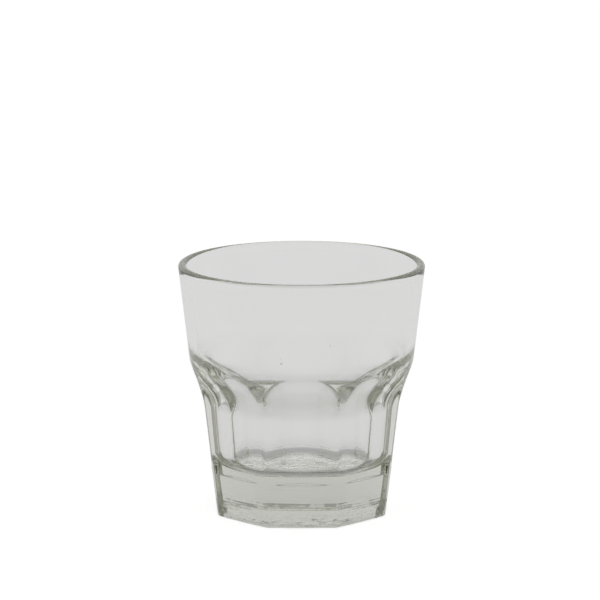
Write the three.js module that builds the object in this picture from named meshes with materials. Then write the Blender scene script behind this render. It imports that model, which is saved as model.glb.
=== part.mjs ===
// A pressed water tumbler: one piece of clear glass with a round, flaring upper wall, eight
// scooped panels below it, a faceted heel and a thick floor.
// Lengths are in millimetres and angles in degrees. +Z is up, the glass stands on Z = 0 and
// its axis is the Z axis. The middle of one panel faces -Y.

import * as THREE from 'three';

// Rim and flaring upper wall
const HEIGHT = 87;
const RIM_DIAMETER = 85;
const RIM_CROWN = 1.3;
const RIM_WALL = 2.8;
const WALL_TAPER = 6.7;

// Scooped panels between the heel and the upper wall
const PANELS = 8;
const SCOOP_START = 38.2;
const SCOOP_RADIUS = 32.5;
const PANEL_DEPTH = 3.6;
const PANEL_TAPER = 6.5;
const RIDGE_ROUND = 1.4;
const ARCH_ROUND = 0.9;

// Heel below the panels, its ledge and its foot
const HEEL_HEIGHT = 15.6;
const HEEL_TAPER = 7.4;
const HEEL_BULGE_RADIUS = 68;
const LEDGE_DEPTH = 0.55;
const LEDGE_SLOPE = 35;
const LEDGE_ROUND = 0.4;
const FOOT_ROUND = 0.8;

// Underside: a flat bearing ring round a shallow hollow
const RING_WIDTH = 5.5;
const HOLLOW_DEPTH = 1.2;

// Drinking space
const FLOOR_HEIGHT = 17;
const FLOOR_FILLET = 5.5;
const PANEL_WALL = 7;
const LOWER_TAPER = 4;
const SHOULDER_LOW = 37;
const SHOULDER_HIGH = 58;

// Facets round the axis and along each stretch of the section, and how closely an arch is found
const COLUMNS_PER_PANEL = 10;
const COLUMNS = PANELS * COLUMNS_PER_PANEL;
const HOLLOW_STEPS = 5;
const FOOT_STEPS = 3;
const HEEL_STEPS = 3;
const LEDGE_STEPS = 7;
const PANEL_STEPS = 5;
const SCOOP_STEPS = 8;
const ARCH_STEPS = 4;
const WALL_STEPS = 5;
const RIM_STEPS = 8;
const INNER_STEPS = 16;
const FILLET_STEPS = 6;
const ARCH_TOLERANCE = 0.001;

const slope = (degrees) => Math.tan(THREE.MathUtils.degToRad(degrees));
const halfPanel = Math.PI / PANELS;
const rimBase = HEIGHT - RIM_CROWN;

// Smaller or larger of two radii, with the edge between them rounded over a width
function softMin(a, b, width) {
  const share = THREE.MathUtils.clamp(0.5 + (b - a) / (2 * width), 0, 1);
  return THREE.MathUtils.lerp(b, a, share) - width * share * (1 - share);
}

const softMax = (a, b, width) => -softMin(-a, -b, width);

// Radius of the flaring round wall
const wallRadius = (z) => RIM_DIAMETER / 2 - (rimBase - z) * slope(WALL_TAPER);

// Distance from the axis to the middle of a panel: a straight taper, then an arc that scoops out
const scoopDistance = wallRadius(SCOOP_START) - PANEL_DEPTH;

function panelDistance(z) {
  if (z <= SCOOP_START) {
    return scoopDistance - (SCOOP_START - z) * slope(PANEL_TAPER);
  }
  const lean = THREE.MathUtils.degToRad(PANEL_TAPER);
  const sine = Math.min((z - SCOOP_START) / SCOOP_RADIUS + Math.sin(lean), 1);
  return scoopDistance + SCOOP_RADIUS * (Math.cos(lean) - Math.sqrt(1 - sine * sine));
}

// Distance from the axis to the middle of a heel facet
const heelTop = panelDistance(HEEL_HEIGHT) + LEDGE_DEPTH;
const heelDistance = (z) => heelTop - (HEEL_HEIGHT - z) * slope(HEEL_TAPER);

// Angle from the middle of the nearest panel, eased where two panels meet in a rounded ridge
const ridgeEase = RIDGE_ROUND / scoopDistance;

function panelAngle(phi) {
  const turn = THREE.MathUtils.euclideanModulo(phi + halfPanel, 2 * halfPanel) - halfPanel;
  return halfPanel - Math.hypot(halfPanel - Math.abs(turn), ridgeEase);
}

const panelRadius = (phi, z) => panelDistance(z) / Math.cos(panelAngle(phi));

// A heel facet bulges, so its edges lie nearer the axis than those of a flat facet
function heelRadius(phi, z) {
  const angle = panelAngle(phi);
  const bulge = Math.sin(angle) ** 2 / (2 * HEEL_BULGE_RADIUS);
  const distance = heelDistance(z);
  return (2 * distance) / (Math.cos(angle) + Math.sqrt(Math.cos(angle) ** 2 + 4 * bulge * distance));
}

// Outside radius: the heel up to its ledge, the panel above it, and the round wall over both
function outerRadius(phi, z) {
  const heel = heelRadius(phi, z);
  const ledge = heel - (z - HEEL_HEIGHT) / slope(LEDGE_SLOPE);
  const lower = softMax(panelRadius(phi, z), softMin(heel, ledge, LEDGE_ROUND), LEDGE_ROUND);
  return softMin(wallRadius(z), lower, ARCH_ROUND);
}

// Height at which a panel runs out into the round wall
function archHeight(phi) {
  let low = SCOOP_START;
  let high = rimBase - ARCH_ROUND;
  while (high - low > ARCH_TOLERANCE) {
    const middle = (low + high) / 2;
    if (panelRadius(phi, middle) < wallRadius(middle)) {
      low = middle;
    } else {
      high = middle;
    }
  }
  return low;
}

// Inside radius: a tapering lower part, a shoulder and an upper part along the round wall
const boreStart = scoopDistance - PANEL_WALL;

function innerRadius(z) {
  const lower = boreStart - (SCOOP_START - z) * slope(LOWER_TAPER);
  const upper = wallRadius(z) - RIM_WALL;
  return THREE.MathUtils.lerp(lower, upper, THREE.MathUtils.smoothstep(z, SHOULDER_LOW, SHOULDER_HIGH));
}

// Points of one stretch, evenly spaced after its start
function stretch(steps, pointAt) {
  return Array.from({ length: steps }, (_, step) => pointAt((step + 1) / steps));
}

// Underside from the axis to the edge of the foot, and the rounding of the foot
function undersideSection(phi) {
  const footRadius = outerRadius(phi, FOOT_ROUND);
  const hollowRadius = heelDistance(0) - FOOT_ROUND - RING_WIDTH;
  const hollow = stretch(HOLLOW_STEPS, (share) => {
    return new THREE.Vector2(hollowRadius * share, HOLLOW_DEPTH * (1 - share * share));
  });
  const foot = stretch(FOOT_STEPS, (share) => {
    const angle = (share * Math.PI) / 2;
    const inward = FOOT_ROUND * (1 - Math.sin(angle));
    return new THREE.Vector2(footRadius - inward, FOOT_ROUND * (1 - Math.cos(angle)));
  });
  const start = new THREE.Vector2(0, HOLLOW_DEPTH);
  const ringEdge = new THREE.Vector2(footRadius - FOOT_ROUND, 0);
  return [start, ...hollow, ringEdge, ...foot];
}

// Outside from the foot to the start of the rim, with rows that follow the arch of the panel
function outsideSection(phi) {
  const arch = archHeight(phi);
  const levels = [
    [HEEL_HEIGHT - LEDGE_ROUND, HEEL_STEPS],
    [HEEL_HEIGHT + LEDGE_DEPTH + 2 * LEDGE_ROUND, LEDGE_STEPS],
    [SCOOP_START, PANEL_STEPS],
    [arch - ARCH_ROUND, SCOOP_STEPS],
    [arch + ARCH_ROUND, ARCH_STEPS],
    [rimBase, WALL_STEPS],
  ];
  let from = FOOT_ROUND;
  return levels.flatMap(([to, steps]) => {
    const start = from;
    from = to;
    return stretch(steps, (share) => {
      const z = THREE.MathUtils.lerp(start, to, share);
      return new THREE.Vector2(outerRadius(phi, z), z);
    });
  });
}

// Rounded lip from the outer wall over to the inner wall
function rimSection() {
  const middle = wallRadius(rimBase) - RIM_WALL / 2;
  return stretch(RIM_STEPS, (share) => {
    const angle = share * Math.PI;
    const radius = middle + (RIM_WALL / 2) * Math.cos(angle);
    return new THREE.Vector2(radius, rimBase + RIM_CROWN * Math.sin(angle));
  });
}

// Inner wall down to the fillet, the fillet, and the floor to the axis
function insideSection() {
  const lean = THREE.MathUtils.degToRad(LOWER_TAPER);
  const filletCentre = FLOOR_HEIGHT + FLOOR_FILLET;
  const filletRadius = innerRadius(filletCentre) - FLOOR_FILLET / Math.cos(lean);
  const filletTop = filletCentre - FLOOR_FILLET * Math.sin(lean);
  const wall = stretch(INNER_STEPS, (share) => {
    const z = THREE.MathUtils.lerp(rimBase, filletTop, share);
    return new THREE.Vector2(innerRadius(z), z);
  });
  const fillet = stretch(FILLET_STEPS, (share) => {
    const angle = THREE.MathUtils.lerp(lean, Math.PI / 2, share);
    return new THREE.Vector2(
      filletRadius + FLOOR_FILLET * Math.cos(angle),
      filletCentre - FLOOR_FILLET * Math.sin(angle),
    );
  });
  return [...wall, ...fillet, new THREE.Vector2(0, FLOOR_HEIGHT)];
}

function glassSection(phi) {
  return [...undersideSection(phi), ...outsideSection(phi), ...rimSection(), ...insideSection()];
}

// A revolved section whose outside changes from column to column round the axis
function glassGeometry() {
  const geometry = new THREE.LatheGeometry(glassSection(0), COLUMNS);
  const position = geometry.getAttribute('position');
  for (let column = 0; column <= COLUMNS; column += 1) {
    const phi = ((column % COLUMNS) / COLUMNS) * 2 * Math.PI;
    glassSection(phi).forEach((point, row, section) => {
      const vertex = column * section.length + row;
      position.setXYZ(vertex, point.x * Math.sin(phi), point.y, point.x * Math.cos(phi));
    });
  }
  geometry.rotateX(Math.PI / 2);
  geometry.computeVertexNormals();
  return geometry;
}

const clearGlass = new THREE.MeshStandardMaterial({
  color: 0xdfe3db,
  roughness: 0.04,
  metalness: 0,
  transparent: true,
  opacity: 0.35,
});

const tumblerGlass = new THREE.Mesh(glassGeometry(), clearGlass);
tumblerGlass.name = 'tumbler_glass';

const tumbler = new THREE.Group();
tumbler.add(tumblerGlass);

export default tumbler;
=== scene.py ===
import math

import bpy
from bpy.props import FloatProperty, FloatVectorProperty, IntProperty, PointerProperty
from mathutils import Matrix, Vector


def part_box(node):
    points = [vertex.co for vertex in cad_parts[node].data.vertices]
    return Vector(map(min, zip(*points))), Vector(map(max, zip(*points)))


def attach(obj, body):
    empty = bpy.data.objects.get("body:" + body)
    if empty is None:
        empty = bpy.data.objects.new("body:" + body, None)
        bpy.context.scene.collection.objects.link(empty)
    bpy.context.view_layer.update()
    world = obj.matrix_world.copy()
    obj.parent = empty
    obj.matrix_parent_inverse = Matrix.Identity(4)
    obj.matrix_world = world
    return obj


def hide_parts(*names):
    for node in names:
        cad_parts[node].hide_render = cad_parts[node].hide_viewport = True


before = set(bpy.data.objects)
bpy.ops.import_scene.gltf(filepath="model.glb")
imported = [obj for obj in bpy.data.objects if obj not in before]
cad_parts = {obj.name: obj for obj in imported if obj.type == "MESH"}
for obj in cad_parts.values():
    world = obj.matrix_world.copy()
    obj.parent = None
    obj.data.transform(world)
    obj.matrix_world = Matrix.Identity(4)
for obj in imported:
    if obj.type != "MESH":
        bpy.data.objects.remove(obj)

bl_info = {
    "name": "Pressed water tumbler",
    "version": (1, 0, 0),
    "blender": (4, 5, 0),
    "location": "3D View > Sidebar > Tumbler",
    "description": "Builds a panelled water tumbler of pressed glass and the stage that it stands on",
    "category": "Object",
}

GLASS_NODE = "tumbler_glass"
MM = 0.001

CAD_LOW, CAD_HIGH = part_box(GLASS_NODE)
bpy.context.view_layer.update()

# Facets of the visual glass round the axis and along each stretch of its section
COLUMNS_PER_PANEL = 40
HOLLOW_STEPS = 14
RING_STEPS = 3
FOOT_STEPS = 8
HEEL_STEPS = 12
LEDGE_STEPS = 28
PANEL_STEPS = 14
SCOOP_STEPS = 26
ARCH_STEPS = 14
WALL_STEPS = 12
RIM_STEPS = 20
INNER_STEPS = 70
FILLET_STEPS = 18
FLOOR_STEPS = 6
ARCH_TOLERANCE = 1e-7

# Frame of the photograph, in pixels, and where the middle of the glass lies in it
PHOTO_SIZE = 600
PHOTO_CENTRE = (301.6, 385.7)
CLIP_START = 0.01
CLIP_END = 100.0

# Seeds, the small bubbles of pressed glass: degrees round the axis, height and radius in millimetres
SEEDS = (
    (-10.2, 59.4, 0.32), (-10.6, 61.0, 0.14), (14.4, 65.6, 0.22),
    (97.0, 71.0, 0.2), (205.0, 31.0, 0.3), (248.0, 68.0, 0.18),
)
SEED_SIDES = 20
SEED_RINGS = 12

# Scale at which a wave texture has one band in a unit of length
WAVE_TURN = math.pi / 10.0

# How the glass bends light, how rough its scuffed foot is and how uneven its relief is
GLASS_IOR = 1.52
SCUFF_ROUGHNESS = 0.25
WAVE_DETAIL = 1.0
CHILL_WANDER = 1.5
LUMP_DETAIL = 2.0

# Paint of the floor, the gap under the glass, the level of white and how often light is followed
FLOOR_PAINT = 0.8
FLOOR_GAP = 0.1 * MM
PLAIN_WHITE = (1.0, 1.0, 1.0, 1.0)
WHITE = 1.02
LIGHT_BOUNCES = 32

# Heights of the backdrop's greys, from 0 at the horizon to 1 overhead
LOW_BACKDROP_TOP = 0.2
HIGH_BACKDROP = 0.34
UPPER_BACKDROP = 0.7

# Painted light under the foot and painted shade round it, as shares of the shade's reach, and the share of
# the shade gone at its edge
PAINTED_LIGHT_END = 0.20
SHADE_START = 0.25
SHADE_END = 0.36
SHADE_EDGE = 0.40
SHADE_GONE = 0.8

# Where the dimmer room before the glass ends and the backdrop starts, from -1 ahead to 1 behind
ROOM_EDGE = -0.3
BACKDROP_EDGE = 0.5

# Where the painted shade on the floor before the glass is full and where it has gone, as a distance behind
# the axis of the glass
FRONT_SHADE_FULL_EDGE = -15.0 * MM
FRONT_SHADE_END_EDGE = 15.0 * MM

# Distance from the axis to which the painted shade on the floor before the glass is at its darkest
FRONT_SHADE_REACH = 60.0 * MM


def length(name, millimetres, description):
    """A length that a user can change, given in millimetres."""
    return FloatProperty(
        name=name, description=description, default=millimetres * MM,
        min=0.0, precision=5, subtype="DISTANCE", unit="LENGTH",
    )


def angle(name, degrees, description):
    """An angle that a user can change, given in degrees."""
    return FloatProperty(
        name=name, description=description, default=math.radians(degrees),
        min=0.0, subtype="ANGLE", unit="ROTATION",
    )


def level(name, value, description):
    """A brightness or a strength that a user can change."""
    return FloatProperty(name=name, description=description, default=value, min=0.0, precision=3)


class TumblerWall(bpy.types.PropertyGroup):
    """Rim and flaring upper wall"""
    height: length("Height", (CAD_HIGH.z - CAD_LOW.z) / MM, "Height of the glass")
    rim_diameter: length("Rim diameter", (CAD_HIGH.x - CAD_LOW.x) / MM, "Outer diameter of the rim")
    rim_crown: length("Rim crown", 1.3, "Height of the rounded lip")
    rim_wall: length("Rim wall", 2.8, "Thickness of the upper wall")
    taper: angle("Taper", 6.7, "Lean of the upper wall")


class TumblerPanels(bpy.types.PropertyGroup):
    """Scooped panels between the heel and the upper wall"""
    count: IntProperty(name="Panels", description="Number of panels", default=8, min=3)
    scoop_start: length("Scoop start", 38.2, "Height at which a panel starts to scoop outwards")
    scoop_radius: length("Scoop radius", 32.5, "Radius of the scoop")
    depth: length("Depth", 3.6, "Depth of a panel below the round wall, at the scoop's start")
    taper: angle("Taper", 6.5, "Lean of the straight part of a panel")
    ridge_round: length("Ridge rounding", 0.9, "Rounding of the ridges between panels")
    arch_round: length("Arch rounding", 0.9, "Rounding of the arched edge of a panel")


class TumblerHeel(bpy.types.PropertyGroup):
    """Faceted heel, its ledge, its foot and its underside"""
    height: length("Height", 15.6, "Height of the heel's upper edge")
    taper: angle("Taper", 7.4, "Lean of the heel's facets")
    bulge_radius: length("Bulge radius", 68.0, "Radius of the heel's slightly bulging facets")
    ledge_depth: length("Ledge depth", 0.55, "Width of the ledge in the middle of a panel")
    ledge_slope: angle("Ledge slope", 35.0, "Slope of the ledge from level")
    ledge_round: length("Ledge rounding", 0.4, "Rounding of the ledge's edges")
    foot_round: length("Foot rounding", 0.8, "Rounding of the foot's edge")
    ring_width: length("Ring width", 5.5, "Width of the flat bearing ring")
    hollow_depth: length("Hollow depth", 1.2, "Depth of the hollow inside the bearing ring")


class TumblerBore(bpy.types.PropertyGroup):
    """Drinking space"""
    floor_height: length("Floor height", 17.0, "Height of the floor of the drinking space")
    floor_fillet: length("Floor fillet", 5.5, "Radius of the corner between floor and wall")
    panel_wall: length("Panel wall", 7.0, "Thickness of the wall at the scoop's start")
    lower_taper: angle("Lower taper", 4.0, "Lean of the lower part of the inner wall")
    shoulder_low: length("Shoulder start", 37.0, "Height at which the inner shoulder starts")
    shoulder_high: length("Shoulder end", 58.0, "Height at which the inner shoulder ends")


class GlassFinish(bpy.types.PropertyGroup):
    """Look of the glass"""
    tint: FloatVectorProperty(
        name="Tint", description="Colour that thick glass takes on", size=3,
        default=(0.80, 0.805, 0.745), min=0.0, max=1.0, subtype="COLOR",
    )
    depth_of_tint: level("Depth of tint", 22.0, "How soon thick glass takes on its tint")
    wave: length("Wave height", 0.006, "Height of the soft waves that pressing leaves in the surface")
    wave_length: length("Wave length", 11.0, "Distance between the soft waves")
    chill: length("Chill mark height", 0.02, "Height of the fine level ripples that a cold mould leaves")
    chill_length: length("Chill mark spacing", 1.3, "Distance between the fine level ripples")
    chill_top: length("Chill mark end", 17.0, "Height above which the fine ripples have faded")
    lump: length("Lump height", 0.8, "Height of the uneven lumps round the foot")
    lump_length: length("Lump length", 5.0, "Distance between the uneven lumps round the foot")
    lump_top: length("Lump end", 7.0, "Height above which the lumps have faded")
    scuff_height: length("Scuff height", 0.5, "Height to which the foot is scuffed by use")


class StudioStage(bpy.types.PropertyGroup):
    """Floor, light and camera"""
    floor_size: length("Floor size", 3000.0, "Side of the floor")
    soft_light: level("Soft light", 0.3, "Brightness of the soft light round the glass")
    floor_grey: level("Floor in the glass", 0.71, "Brightness of the floor as the glass shows it")
    # Painted light on the floor under the glass, brighter than the rest of the floor in the glass
    under_grey: level("Floor under the glass", 0.95, "Brightness of the floor under the glass, in the glass")
    shade_grey: level("Shade in the glass", 0.40, "Brightness of the shade round the foot, in the glass")
    shade_reach: length("Shade reach", 130.0, "Radius at which the shade round the foot has faded")
    low_grey: level("Low backdrop", 0.72, "Brightness of the backdrop near the horizon")
    high_grey: level("High backdrop", 0.75, "Brightness of the backdrop above the glass")
    upper_grey: level("Upper backdrop", 0.60, "Brightness of the backdrop under the ceiling")
    ceiling_grey: level("Ceiling", 0.90, "Brightness of the soft ceiling over the glass")
    front_share: level("Room share", 0.80, "How bright the room before the glass is beside the backdrop")
    # Painted shade on the floor close before the glass, as a share of the floor's grey there
    floor_front_share: level("Front floor share", 0.42, "The same for the floor close before the glass")
    distance: length("Camera distance", 1388.4, "Distance from the camera to the middle of the glass")
    elevation: angle("Camera elevation", 12.41, "Height of the camera above the horizon")
    focal_length: FloatProperty(
        name="Focal length", description="Focal length of the lens, in millimetres",
        default=240.5, min=1.0, unit="CAMERA",
    )


class TumblerSettings(bpy.types.PropertyGroup):
    """Sizes and colours of the tumbler and its stage"""
    wall: PointerProperty(name="Wall", description="Rim and upper wall", type=TumblerWall)
    panels: PointerProperty(name="Panels", description="Scooped panels", type=TumblerPanels)
    heel: PointerProperty(name="Heel", description="Heel, foot and underside", type=TumblerHeel)
    bore: PointerProperty(name="Bore", description="Drinking space", type=TumblerBore)
    finish: PointerProperty(name="Finish", description="Look of the glass", type=GlassFinish)
    stage: PointerProperty(name="Stage", description="Floor, light and camera", type=StudioStage)


def mix(start, end, share):
    """A value between two others."""
    return start + (end - start) * share


def smooth_share(value, start, end):
    """How far a value has come from a start to an end, eased at both."""
    share = min(max((value - start) / (end - start), 0.0), 1.0)
    return share * share * (3.0 - 2.0 * share)


def soft_min(first, second, width):
    """Smaller of two radii, with the edge between them rounded over a width."""
    share = min(max(0.5 + (second - first) / (2.0 * width), 0.0), 1.0)
    return mix(second, first, share) - width * share * (1.0 - share)


def soft_max(first, second, width):
    """Larger of two radii, with the edge between them rounded over a width."""
    return -soft_min(-first, -second, width)


def stretch(steps, point_at):
    """Points of one stretch of the section, evenly spaced after its start."""
    return [point_at((step + 1) / steps) for step in range(steps)]


class GlassSection:
    """The section of the glass through its axis, which changes with the angle round it."""

    def __init__(self, settings):
        self.wall = settings.wall
        self.panels = settings.panels
        self.heel = settings.heel
        self.bore = settings.bore
        self.half_panel = math.pi / self.panels.count
        self.rim_base = self.wall.height - self.wall.rim_crown
        self.scoop_distance = self.wall_radius(self.panels.scoop_start) - self.panels.depth
        self.ridge_ease = self.panels.ridge_round / self.scoop_distance
        self.heel_top = self.panel_distance(self.heel.height) + self.heel.ledge_depth
        self.bore_start = self.scoop_distance - self.bore.panel_wall

    def wall_radius(self, z):
        """Outer radius of the flaring round wall."""
        return self.wall.rim_diameter / 2.0 - (self.rim_base - z) * math.tan(self.wall.taper)

    def panel_distance(self, z):
        """From the axis to the middle of a panel: a straight taper, then a scooping arc."""
        above = z - self.panels.scoop_start
        if above <= 0.0:
            return self.scoop_distance + above * math.tan(self.panels.taper)
        radius = self.panels.scoop_radius
        sine = min(above / radius + math.sin(self.panels.taper), 1.0)
        return self.scoop_distance + radius * (math.cos(self.panels.taper) - math.sqrt(1.0 - sine * sine))

    def heel_distance(self, z):
        """From the axis to the middle of a heel facet."""
        return self.heel_top - (self.heel.height - z) * math.tan(self.heel.taper)

    def panel_angle(self, phi):
        """Angle from the middle of the nearest panel, eased at the rounded ridge."""
        turn = (phi + self.half_panel) % (2.0 * self.half_panel) - self.half_panel
        return self.half_panel - math.hypot(self.half_panel - abs(turn), self.ridge_ease)

    def panel_radius(self, phi, z):
        return self.panel_distance(z) / math.cos(self.panel_angle(phi))

    def heel_radius(self, phi, z):
        """A heel facet bulges, so its edges lie nearer the axis than those of a flat one."""
        turn = self.panel_angle(phi)
        distance = self.heel_distance(z)
        bulge = math.sin(turn) ** 2 / (2.0 * self.heel.bulge_radius)
        return 2.0 * distance / (math.cos(turn) + math.sqrt(math.cos(turn) ** 2 + 4.0 * bulge * distance))

    def outer_radius(self, phi, z):
        """The heel up to its ledge, the panel above it, and the round wall over both."""
        rounding = self.heel.ledge_round
        heel = self.heel_radius(phi, z)
        ledge = heel - (z - self.heel.height) / math.tan(self.heel.ledge_slope)
        lower = soft_max(self.panel_radius(phi, z), soft_min(heel, ledge, rounding), rounding)
        return soft_min(self.wall_radius(z), lower, self.panels.arch_round)

    def arch_height(self, phi):
        """Height at which a panel runs out into the round wall."""
        low = self.panels.scoop_start
        high = self.rim_base - self.panels.arch_round
        while high - low > ARCH_TOLERANCE:
            middle = (low + high) / 2.0
            if self.panel_radius(phi, middle) < self.wall_radius(middle):
                low = middle
            else:
                high = middle
        return low

    def inner_radius(self, z):
        """A tapering lower part, a shoulder and an upper part along the round wall."""
        lower = self.bore_start - (self.panels.scoop_start - z) * math.tan(self.bore.lower_taper)
        upper = self.wall_radius(z) - self.wall.rim_wall
        return mix(lower, upper, smooth_share(z, self.bore.shoulder_low, self.bore.shoulder_high))

    def underside(self, phi):
        """The hollow, the bearing ring and the rounding of the foot."""
        rounding = self.heel.foot_round
        foot_radius = self.outer_radius(phi, rounding)
        hollow_radius = self.heel_distance(0.0) - rounding - self.heel.ring_width
        ring_edge = foot_radius - rounding

        def hollow_at(share):
            return hollow_radius * share, self.heel.hollow_depth * (1.0 - share * share)

        def ring_at(share):
            return mix(hollow_radius, ring_edge, share), 0.0

        def foot_at(share):
            turn = share * math.pi / 2.0
            return ring_edge + rounding * math.sin(turn), rounding * (1.0 - math.cos(turn))

        points = [(0.0, self.heel.hollow_depth)]
        points += stretch(HOLLOW_STEPS, hollow_at)
        points += stretch(RING_STEPS, ring_at)
        return points + stretch(FOOT_STEPS, foot_at)

    def outside(self, phi):
        """From the foot to the start of the rim, with rows that follow the arch of the panel."""
        heel = self.heel
        arch = self.arch_height(phi)
        rounding = self.panels.arch_round
        levels = (
            (heel.height - 2.0 * heel.ledge_round, HEEL_STEPS),
            (heel.height + heel.ledge_depth + 3.0 * heel.ledge_round, LEDGE_STEPS),
            (self.panels.scoop_start, PANEL_STEPS),
            (arch - 2.0 * rounding, SCOOP_STEPS),
            (arch + 2.0 * rounding, ARCH_STEPS),
            (self.rim_base, WALL_STEPS),
        )
        points = []
        start = heel.foot_round
        for end, steps in levels:
            for step in range(steps):
                z = mix(start, end, (step + 1) / steps)
                points.append((self.outer_radius(phi, z), z))
            start = end
        return points

    def rim(self):
        """The rounded lip from the outer wall over to the inner wall."""
        half = self.wall.rim_wall / 2.0
        middle = self.wall_radius(self.rim_base) - half

        def rim_at(share):
            turn = share * math.pi
            return middle + half * math.cos(turn), self.rim_base + self.wall.rim_crown * math.sin(turn)

        return stretch(RIM_STEPS, rim_at)

    def inside(self):
        """The inner wall, the rounded corner and the floor."""
        lean = self.bore.lower_taper
        fillet = self.bore.floor_fillet
        centre_z = self.bore.floor_height + fillet
        centre_r = self.inner_radius(centre_z) - fillet / math.cos(lean)
        fillet_top = centre_z - fillet * math.sin(lean)

        def wall_at(share):
            z = mix(self.rim_base, fillet_top, share)
            return self.inner_radius(z), z

        def fillet_at(share):
            turn = mix(lean, math.pi / 2.0, share)
            return centre_r + fillet * math.cos(turn), centre_z - fillet * math.sin(turn)

        def floor_at(share):
            return centre_r * (1.0 - share), self.bore.floor_height

        points = stretch(INNER_STEPS, wall_at)
        points += stretch(FILLET_STEPS, fillet_at)
        return points + stretch(FLOOR_STEPS, floor_at)

    def points(self, phi):
        """Radius and height from the middle of the underside, over the rim, to the middle of the floor."""
        return self.underside(phi) + self.outside(phi) + self.rim() + self.inside()


def add_seed(vertices, faces, middle, radius):
    """Add a bubble, ring by ring from its lowest point, with faces that look into the bubble."""
    lowest = len(vertices)
    vertices.append(tuple(middle - Vector((0.0, 0.0, radius))))
    for ring in range(1, SEED_RINGS):
        rise = math.pi * ring / SEED_RINGS
        for side in range(SEED_SIDES):
            turn = 2.0 * math.pi * side / SEED_SIDES
            out = Vector((math.sin(rise) * math.cos(turn), math.sin(rise) * math.sin(turn), -math.cos(rise)))
            vertices.append(tuple(middle + radius * out))
    highest = len(vertices)
    vertices.append(tuple(middle + Vector((0.0, 0.0, radius))))
    for side in range(SEED_SIDES):
        here = lowest + 1 + side
        beside = lowest + 1 + (side + 1) % SEED_SIDES
        faces.append((lowest, here, beside))
        for ring in range(SEED_RINGS - 2):
            faces.append((here, here + SEED_SIDES, beside + SEED_SIDES, beside))
            here += SEED_SIDES
            beside += SEED_SIDES
        faces.append((highest, beside, here))


def glass_mesh(settings):
    """A skin round the axis, closed by one point under the glass and one on its floor, and its seeds."""
    section = GlassSection(settings)
    columns = settings.panels.count * COLUMNS_PER_PANEL
    profiles = [section.points(2.0 * math.pi * step / columns) for step in range(COLUMNS_PER_PANEL)]
    rows = len(profiles[0]) - 2
    vertices = [(0.0, 0.0, profiles[0][0][1]), (0.0, 0.0, profiles[0][-1][1])]
    for column in range(columns):
        phi = 2.0 * math.pi * column / columns
        for radius, z in profiles[column % COLUMNS_PER_PANEL][1:-1]:
            vertices.append((radius * math.sin(phi), -radius * math.cos(phi), z))
    faces = []
    for column in range(columns):
        here = 2 + column * rows
        there = 2 + (column + 1) % columns * rows
        faces.append((0, there, here))
        faces.append((1, here + rows - 1, there + rows - 1))
        for row in range(rows - 1):
            faces.append((here + row, there + row, there + row + 1, here + row + 1))
    for degrees, height, radius in SEEDS:
        phi = math.radians(degrees)
        z = height * MM
        mid_wall = (section.outer_radius(phi, z) + section.inner_radius(z)) / 2.0
        middle = Vector((mid_wall * math.sin(phi), -mid_wall * math.cos(phi), z))
        add_seed(vertices, faces, middle, radius * MM)
    mesh = bpy.data.meshes.new("tumbler_glass_skin")
    mesh.from_pydata(vertices, [], faces)
    mesh.shade_smooth()
    mesh.update()
    return mesh


def add_node(tree, kind, **inputs):
    """A new node with its named inputs set."""
    node = tree.nodes.new(kind)
    for name, value in inputs.items():
        node.inputs[name.replace("_", " ")].default_value = value
    return node


def set_ramp(ramp, stops):
    """Give a colour ramp its stops, each a place and a grey."""
    while len(ramp.elements) < len(stops):
        ramp.elements.new(1.0)
    for element, (place, grey) in zip(ramp.elements, stops):
        element.position = place
        element.color = (grey, grey, grey, 1.0)


def math_node(tree, operation, *values):
    """The result of one calculation on numbers and on the outputs of other nodes."""
    node = add_node(tree, "ShaderNodeMath")
    node.operation = operation
    for socket, value in zip(node.inputs, values):
        if isinstance(value, bpy.types.NodeSocket):
            tree.links.new(value, socket)
        else:
            socket.default_value = value
    return node.outputs["Value"]


def map_range(tree, start, end, start_value, end_value, easing="SMOOTHSTEP"):
    """A node that carries one stretch of values over to another."""
    node = add_node(
        tree, "ShaderNodeMapRange", From_Min=start, From_Max=end, To_Min=start_value, To_Max=end_value,
    )
    node.interpolation_type = easing
    return node


def split_axes(tree, place):
    """A node with the three coordinates of a place."""
    axes = add_node(tree, "ShaderNodeSeparateXYZ")
    tree.links.new(place, axes.inputs["Vector"])
    return axes


def fading_bump(tree, normal, height, relief, depth, top):
    """A normal bent by a relief that is full at the foot and fades out towards a height."""
    fade = map_range(tree, top, 0.0, 0.0, 1.0)
    bump = add_node(tree, "ShaderNodeBump", Strength=1.0, Distance=depth)
    tree.links.new(height, fade.inputs["Value"])
    tree.links.new(math_node(tree, "MULTIPLY", fade.outputs["Result"], relief), bump.inputs["Height"])
    tree.links.new(normal, bump.inputs["Normal"])
    return bump.outputs["Normal"]


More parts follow.
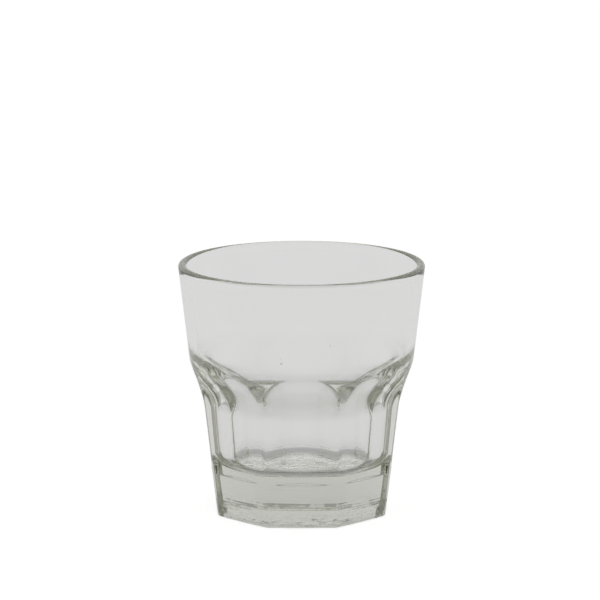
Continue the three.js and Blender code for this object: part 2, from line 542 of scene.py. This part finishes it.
def glass_material(finish):
    """Clear glass: waves, ripples and lumps from the mould, a scuffed foot, a tint where it is thick."""
    material = bpy.data.materials.new("clear_pressed_glass")
    material.use_nodes = True
    tree = material.node_tree
    shader = tree.nodes["Principled BSDF"]
    shader.inputs["Base Color"].default_value = PLAIN_WHITE
    shader.inputs["Transmission Weight"].default_value = 1.0
    shader.inputs["IOR"].default_value = GLASS_IOR

    place = add_node(tree, "ShaderNodeTexCoord").outputs["Object"]
    height = split_axes(tree, place).outputs["Z"]
    waves = add_node(tree, "ShaderNodeTexNoise", Scale=1.0 / finish.wave_length, Detail=WAVE_DETAIL)
    marks = add_node(
        tree, "ShaderNodeTexWave", Scale=WAVE_TURN / finish.chill_length, Distortion=CHILL_WANDER,
        Detail_Scale=finish.chill_length / finish.wave_length,
    )
    marks.bands_direction = "Z"
    lumps = add_node(tree, "ShaderNodeTexNoise", Scale=1.0 / finish.lump_length, Detail=LUMP_DETAIL)
    for texture in (waves, marks, lumps):
        tree.links.new(place, texture.inputs["Vector"])

    wave_bump = add_node(tree, "ShaderNodeBump", Strength=1.0, Distance=finish.wave)
    tree.links.new(waves.outputs["Fac"], wave_bump.inputs["Height"])
    normal = wave_bump.outputs["Normal"]
    normal = fading_bump(tree, normal, height, marks.outputs["Fac"], finish.chill, finish.chill_top)
    normal = fading_bump(tree, normal, height, lumps.outputs["Fac"], finish.lump, finish.lump_top)
    tree.links.new(normal, shader.inputs["Normal"])

    scuff = map_range(tree, finish.scuff_height, 0.0, 0.0, SCUFF_ROUGHNESS, easing="LINEAR")
    tree.links.new(height, scuff.inputs["Value"])
    tree.links.new(scuff.outputs["Result"], shader.inputs["Roughness"])

    body = add_node(
        tree, "ShaderNodeVolumeAbsorption", Color=(*finish.tint, 1.0), Density=finish.depth_of_tint,
    )
    tree.links.new(body.outputs["Volume"], tree.nodes["Material Output"].inputs["Volume"])
    return material


class TUMBLER_OT_glass(bpy.types.Operator):
    """Build the pressed glass in place of its CAD solid"""
    bl_idname = "tumbler.glass"
    bl_label = "Add the glass"

    def execute(self, context):
        settings = context.scene.tumbler
        glass = bpy.data.objects.new("pressed_tumbler", glass_mesh(settings))
        context.scene.collection.objects.link(glass)
        glass.data.materials.append(glass_material(settings.finish))
        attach(glass, "root")
        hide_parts(GLASS_NODE)
        return {"FINISHED"}


def ray_masks(tree):
    """One where the camera looks straight at a surface, and one where it looks by way of the glass."""
    path = add_node(tree, "ShaderNodeLightPath")
    glass = math_node(tree, "MAXIMUM", path.outputs["Is Transmission Ray"], path.outputs["Is Glossy Ray"])
    return path.outputs["Is Camera Ray"], glass


def floor_in_glass(tree, stage):
    """Grey of the floor as the glass shows it: painted light under the foot, painted shade round it and
    painted shade close before it.
    """
    place = add_node(tree, "ShaderNodeTexCoord").outputs["Object"]
    depth = split_axes(tree, place).outputs["Y"]
    length_node = add_node(tree, "ShaderNodeVectorMath")
    length_node.operation = "LENGTH"
    tree.links.new(place, length_node.inputs["Vector"])
    reach = length_node.outputs["Value"]

    # Painted light under the foot, then a ring of painted shade round it, fading out to the floor's grey
    shade = add_node(tree, "ShaderNodeValToRGB")
    set_ramp(shade.color_ramp, (
        (PAINTED_LIGHT_END, stage.under_grey), (SHADE_START, stage.shade_grey), (SHADE_END, stage.shade_grey),
        (SHADE_EDGE, mix(stage.shade_grey, stage.floor_grey, SHADE_GONE)), (1.0, stage.floor_grey),
    ))
    tree.links.new(math_node(tree, "DIVIDE", reach, stage.shade_reach), shade.inputs["Fac"])

    # Painted shade on the floor close before the glass, darkest near the axis and gone by the shade's reach
    fading = map_range(tree, FRONT_SHADE_REACH, stage.shade_reach, stage.floor_front_share, 1.0)
    ahead = map_range(tree, FRONT_SHADE_FULL_EDGE, FRONT_SHADE_END_EDGE, 0.0, 1.0)
    tree.links.new(reach, fading.inputs["Value"])
    tree.links.new(fading.outputs["Result"], ahead.inputs["To Min"])
    tree.links.new(depth, ahead.inputs["Value"])
    return math_node(tree, "MULTIPLY", ahead.outputs["Result"], shade.outputs["Color"])


def floor_material(stage):
    """A pale floor that keeps the shadow of the glass: white to the camera, grey in the glass, with painted
    light and shade round the foot.
    """
    material = bpy.data.materials.new("pale_floor")
    material.use_nodes = True
    tree = material.node_tree
    tree.nodes.clear()
    camera, glass = ray_masks(tree)
    lit = FLOOR_PAINT * stage.soft_light
    paint = add_node(tree, "ShaderNodeBsdfDiffuse", Color=(FLOOR_PAINT, FLOOR_PAINT, FLOOR_PAINT, 1.0))
    # Emission that sets the floor's grey in the glass, painted light and shade round the foot included
    above_lit = math_node(tree, "SUBTRACT", floor_in_glass(tree, stage), lit)
    glass_lift = math_node(tree, "MULTIPLY", glass, above_lit)
    glow = add_node(tree, "ShaderNodeEmission")
    both = add_node(tree, "ShaderNodeAddShader")
    output = add_node(tree, "ShaderNodeOutputMaterial")
    tree.links.new(math_node(tree, "MULTIPLY_ADD", camera, WHITE - lit, glass_lift), glow.inputs["Strength"])
    tree.links.new(paint.outputs["BSDF"], both.inputs[0])
    tree.links.new(glow.outputs["Emission"], both.inputs[1])
    tree.links.new(both.outputs["Shader"], output.inputs["Surface"])
    return material


def add_floor(context, stage):
    """A flat floor just under the bearing ring."""
    half = stage.floor_size / 2.0
    corners = [(-half, -half, 0.0), (half, -half, 0.0), (half, half, 0.0), (-half, half, 0.0)]
    mesh = bpy.data.meshes.new("floor_sheet")
    mesh.from_pydata(corners, [], [(0, 1, 2, 3)])
    mesh.materials.append(floor_material(stage))
    floor = bpy.data.objects.new("floor", mesh)
    floor.location.z = -FLOOR_GAP
    context.scene.collection.objects.link(floor)


def add_world(context, stage):
    """Even soft light, a grey backdrop in the glass and white behind it."""
    world = bpy.data.worlds.new("soft_studio")
    context.scene.world = world
    world.use_nodes = True
    tree = world.node_tree
    tree.nodes.clear()
    camera, glass = ray_masks(tree)
    axes = split_axes(tree, add_node(tree, "ShaderNodeTexCoord").outputs["Generated"])
    backdrop = add_node(tree, "ShaderNodeValToRGB")
    set_ramp(backdrop.color_ramp, (
        (0.0, stage.low_grey), (LOW_BACKDROP_TOP, stage.low_grey), (HIGH_BACKDROP, stage.high_grey),
        (UPPER_BACKDROP, stage.upper_grey), (1.0, stage.ceiling_grey),
    ))
    room = map_range(tree, ROOM_EDGE, BACKDROP_EDGE, stage.front_share, 1.0)
    light = add_node(tree, "ShaderNodeBackground", Color=PLAIN_WHITE, Strength=stage.soft_light)
    in_glass = add_node(tree, "ShaderNodeBackground")
    behind = add_node(tree, "ShaderNodeBackground", Color=PLAIN_WHITE, Strength=WHITE)
    by_glass = add_node(tree, "ShaderNodeMixShader")
    by_camera = add_node(tree, "ShaderNodeMixShader")
    output = add_node(tree, "ShaderNodeOutputWorld")
    tree.links.new(axes.outputs["Z"], backdrop.inputs["Fac"])
    tree.links.new(backdrop.outputs["Color"], in_glass.inputs["Color"])
    tree.links.new(axes.outputs["Y"], room.inputs["Value"])
    tree.links.new(room.outputs["Result"], in_glass.inputs["Strength"])
    tree.links.new(glass, by_glass.inputs["Fac"])
    tree.links.new(light.outputs["Background"], by_glass.inputs[1])
    tree.links.new(in_glass.outputs["Background"], by_glass.inputs[2])
    tree.links.new(camera, by_camera.inputs["Fac"])
    tree.links.new(by_glass.outputs["Shader"], by_camera.inputs[1])
    tree.links.new(behind.outputs["Background"], by_camera.inputs[2])
    tree.links.new(by_camera.outputs["Shader"], output.inputs["Surface"])


def add_camera(context, stage):
    """The camera of the photograph, turned so that the glass lies where the photograph has it."""
    lens = bpy.data.cameras.new("photo_lens")
    lens.lens = stage.focal_length
    lens.clip_start = CLIP_START
    lens.clip_end = CLIP_END
    camera = bpy.data.objects.new("photo_camera", lens)
    middle = (CAD_LOW + CAD_HIGH) / 2.0
    back = Vector((0.0, -math.cos(stage.elevation), math.sin(stage.elevation)))
    focal_pixels = stage.focal_length / lens.sensor_width * PHOTO_SIZE
    right, down = (place - PHOTO_SIZE / 2.0 for place in PHOTO_CENTRE)
    tilt = math.atan(down / focal_pixels)
    turn = math.atan(right / focal_pixels)
    camera.location = middle + back * stage.distance
    camera.rotation_euler = (math.pi / 2.0 - stage.elevation + tilt, 0.0, turn)
    context.scene.collection.objects.link(camera)
    context.scene.camera = camera


class TUMBLER_OT_stage(bpy.types.Operator):
    """Set the floor, the soft light and the camera"""
    bl_idname = "tumbler.stage"
    bl_label = "Set the stage"

    def execute(self, context):
        stage = context.scene.tumbler.stage
        add_floor(context, stage)
        add_world(context, stage)
        add_camera(context, stage)
        context.scene.view_settings.view_transform = "Standard"
        context.scene.cycles.max_bounces = LIGHT_BOUNCES
        context.scene.cycles.transmission_bounces = LIGHT_BOUNCES
        context.scene.cycles.glossy_bounces = LIGHT_BOUNCES
        return {"FINISHED"}


class TUMBLER_PT_sidebar(bpy.types.Panel):
    """Sizes and looks of the tumbler, and the steps that build it"""
    bl_idname = "TUMBLER_PT_sidebar"
    bl_label = "Water tumbler"
    bl_space_type = "VIEW_3D"
    bl_region_type = "UI"
    bl_category = "Tumbler"

    def draw(self, context):
        settings = context.scene.tumbler
        for name in SETTING_GROUPS:
            group = getattr(settings, name)
            box = self.layout.box()
            box.label(text=settings.bl_rna.properties[name].name)
            for key in group.__annotations__:
                box.prop(group, key)
        for operator in OPERATORS:
            self.layout.operator(operator.bl_idname)


SETTING_GROUPS = tuple(TumblerSettings.__annotations__)
OPERATORS = (TUMBLER_OT_glass, TUMBLER_OT_stage)
CLASSES = (
    TumblerWall, TumblerPanels, TumblerHeel, TumblerBore, GlassFinish, StudioStage, TumblerSettings,
    *OPERATORS, TUMBLER_PT_sidebar,
)


def register():
    for cls in CLASSES:
        bpy.utils.register_class(cls)
    bpy.types.Scene.tumbler = PointerProperty(
        name="Tumbler", description="Sizes and looks of the tumbler", type=TumblerSettings,
    )


def unregister():
    del bpy.types.Scene.tumbler
    for cls in reversed(CLASSES):
        bpy.utils.unregister_class(cls)


def main():
    register()
    bpy.ops.tumbler.glass()
    bpy.ops.tumbler.stage()


if __name__ == "__main__":
    main()
